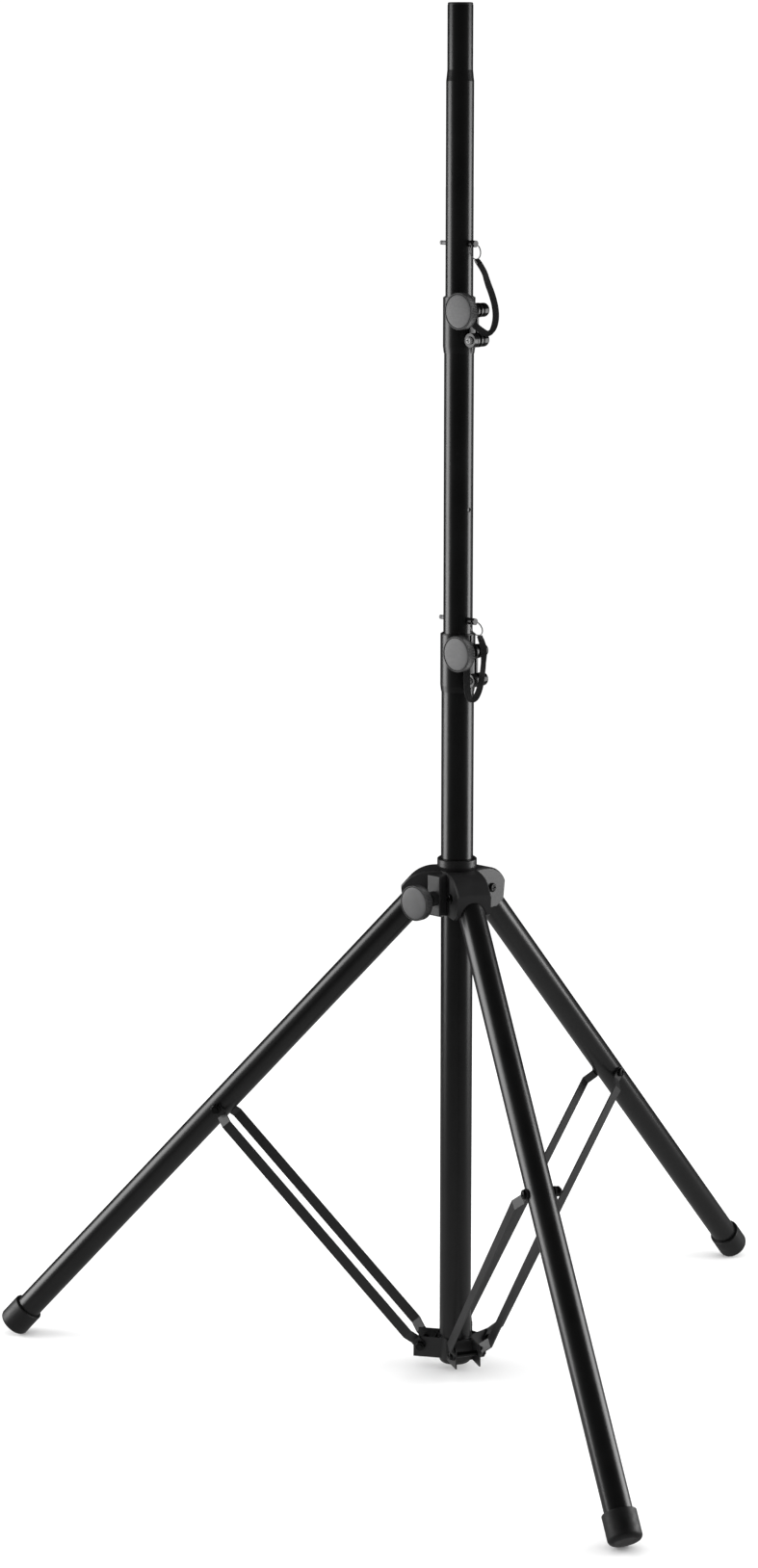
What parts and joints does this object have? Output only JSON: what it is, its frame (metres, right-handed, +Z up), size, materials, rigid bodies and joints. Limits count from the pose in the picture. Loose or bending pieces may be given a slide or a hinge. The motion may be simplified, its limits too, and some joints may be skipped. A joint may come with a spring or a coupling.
{
  "type": "speaker tripod stand",
  "caption": "Telescoping speaker stand: a mast of nested tubes with clamp collars and locking pins, on a folding tripod with braced legs, and a round spigot at the top.",
  "frame": {"origin": "on the floor, on the mast's axis", "axes": "+Z up along the mast, leg A points along -Y, leg B towards +X +Y and leg C towards -X +Y"},
  "size_m": [1.205, 1.0497, 1.943],
  "materials": {
    "powder_black": "satin black powder coat with a fine grain",
    "collar_black": "satin black coated clamp collars",
    "hub_black": "fine-grained black casting",
    "bush_black": "smooth black nylon",
    "knob_grey": "fine-textured charcoal plastic with a knurled rim",
    "knob_face": "fine-textured grey face disc",
    "cap_rubber": "matte moulded rubber",
    "nut_black": "glossy black cap nuts",
    "bar_black": "charcoal coated flat bars",
    "bolt_dark": "black oxide fasteners",
    "zinc": "bright zinc",
    "pin_steel": "dark plated steel",
    "ring_wire": "spring wire",
    "strap_black": "flat woven nylon strap"
  },
  "bodies": {
    "base": {"low_tube": "powder_black", "low_tube_plug": "bush_black", "bottom_bracket": "bar_black", "bracket_bolts": "bolt_dark", "bracket_nuts": "bolt_dark", "lower_collar": "collar_black", "lower_bush": "bush_black", "lower_clamp_screw": "zinc", "lower_cap_nuts": "nut_black", "lower_lanyard": "strap_black"},
    "mid_mast": {"mid_tube": "powder_black", "mid_tube_plug": "bush_black", "upper_collar": "collar_black", "upper_bush": "bush_black", "upper_clamp_screw": "zinc", "upper_cap_nuts": "nut_black", "upper_lanyard": "strap_black"},
    "top_mast": {"top_tube": "powder_black", "top_tube_plug": "bush_black", "tip_plug": "bush_black"},
    "lower_pin_body": {"lower_pin": "pin_steel", "lower_pin_ring": "ring_wire", "lower_ring_ferrule": "pin_steel"},
    "upper_pin_body": {"upper_pin": "pin_steel", "upper_pin_ring": "ring_wire", "upper_ring_ferrule": "pin_steel"},
    "lower_knob_body": {"lower_knob": "knob_grey", "lower_knob_cap": "knob_face", "lower_knob_stud": "zinc"},
    "upper_knob_body": {"upper_knob": "knob_grey", "upper_knob_cap": "knob_face", "upper_knob_stud": "zinc"},
    "hub_knob_body": {"hub_knob": "knob_grey", "hub_knob_cap": "knob_face", "hub_knob_stud": "zinc"},
    "hub": {"hub_casting": "hub_black", "hub_bush": "bush_black", "hub_pad": "bush_black", "hub_bolts": "bolt_dark", "hub_nuts": "bolt_dark"},
    "leg_a": {"leg_a_tube": "powder_black", "leg_a_plug": "bush_black", "leg_a_foot": "cap_rubber", "leg_a_brace_bolt": "bolt_dark"},
    "brace_a": {"brace_a_bar_left": "bar_black", "brace_a_bar_right": "bar_black"},
    "leg_b": {"leg_b_tube": "powder_black", "leg_b_plug": "bush_black", "leg_b_foot": "cap_rubber", "leg_b_brace_bolt": "bolt_dark"},
    "brace_b": {"brace_b_bar_left": "bar_black", "brace_b_bar_right": "bar_black"},
    "leg_c": {"leg_c_tube": "powder_black", "leg_c_plug": "bush_black", "leg_c_foot": "cap_rubber", "leg_c_brace_bolt": "bolt_dark"},
    "brace_c": {"brace_c_bar_left": "bar_black", "brace_c_bar_right": "bar_black"}
  },
  "joints": [
    {"name": "mid_slide", "type": "slide", "parent": "base", "child": "mid_mast", "axis": [0, 0, 1], "range_m": [-0.01, 0.045], "deforming": ["lower_lanyard"]},
    {"name": "top_slide", "type": "slide", "parent": "mid_mast", "child": "top_mast", "axis": [0, 0, 1], "range_m": [-0.05, 0.04], "deforming": ["upper_lanyard"]},
    {"name": "lower_pin_slide", "type": "slide", "parent": "mid_mast", "child": "lower_pin_body", "axis": [0.4617, -0.887, 0], "range_m": [0, 0.058], "deforming": ["lower_lanyard"]},
    {"name": "upper_pin_slide", "type": "slide", "parent": "top_mast", "child": "upper_pin_body", "axis": [0.4772, -0.8788, 0], "range_m": [0, 0.058], "deforming": ["upper_lanyard"]},
    {"name": "lower_knob_turn", "type": "hinge", "parent": "base", "child": "lower_knob_body", "pos_m": [0.01524, -0.02927, 1.0615], "axis": [-0.887, -0.4617, 0], "continuous": true},
    {"name": "upper_knob_turn", "type": "hinge", "parent": "mid_mast", "child": "upper_knob_body", "pos_m": [0.01479, -0.02724, 1.5325], "axis": [-0.8788, -0.4772, 0], "continuous": true},
    {"name": "fold", "type": "hinge", "parent": "base", "child": "brace_a", "pos_m": [0, -0.047, 0.0374], "axis": [-1, 0, 0], "range_deg": [0, 39.5]},
    {"name": "leg_a_hinge", "type": "hinge", "parent": "brace_a", "child": "leg_a", "pos_m": [0, -0.35086, 0.37606], "axis": [1, 0, 0], "range_deg": [0, 79]},
    {"name": "hub_hinge", "type": "hinge", "parent": "leg_a", "child": "hub", "pos_m": [0, -0.047, 0.71472], "axis": [-1, 0, 0], "range_deg": [0, 39.5]},
    {"name": "hub_knob_turn", "type": "hinge", "parent": "hub", "child": "hub_knob_body", "pos_m": [-0.0433, -0.025, 0.7115], "axis": [-0.866, -0.5, 0], "continuous": true},
    {"name": "leg_b_hinge", "type": "hinge", "parent": "hub", "child": "leg_b", "pos_m": [0.0407, 0.0235, 0.71472], "axis": [-0.5, 0.866, 0], "range_deg": [0, 39.5]},
    {"name": "brace_b_hinge", "type": "hinge", "parent": "leg_b", "child": "brace_b", "pos_m": [0.30386, 0.17543, 0.37606], "axis": [0.5, -0.866, 0], "range_deg": [0, 79]},
    {"name": "leg_c_hinge", "type": "hinge", "parent": "hub", "child": "leg_c", "pos_m": [-0.0407, 0.0235, 0.71472], "axis": [-0.5, -0.866, 0], "range_deg": [0, 39.5]},
    {"name": "brace_c_hinge", "type": "hinge", "parent": "leg_c", "child": "brace_c", "pos_m": [-0.30386, 0.17543, 0.37606], "axis": [0.5, 0.866, 0], "range_deg": [0, 79]}
  ],
  "couplings": [
    {"joint": "leg_a_hinge", "follows": "fold", "ratio": 2},
    {"joint": "hub_hinge", "follows": "fold", "ratio": 1},
    {"joint": "leg_b_hinge", "follows": "fold", "ratio": 1},
    {"joint": "brace_b_hinge", "follows": "fold", "ratio": 2},
    {"joint": "leg_c_hinge", "follows": "fold", "ratio": 1},
    {"joint": "brace_c_hinge", "follows": "fold", "ratio": 2}
  ]
}
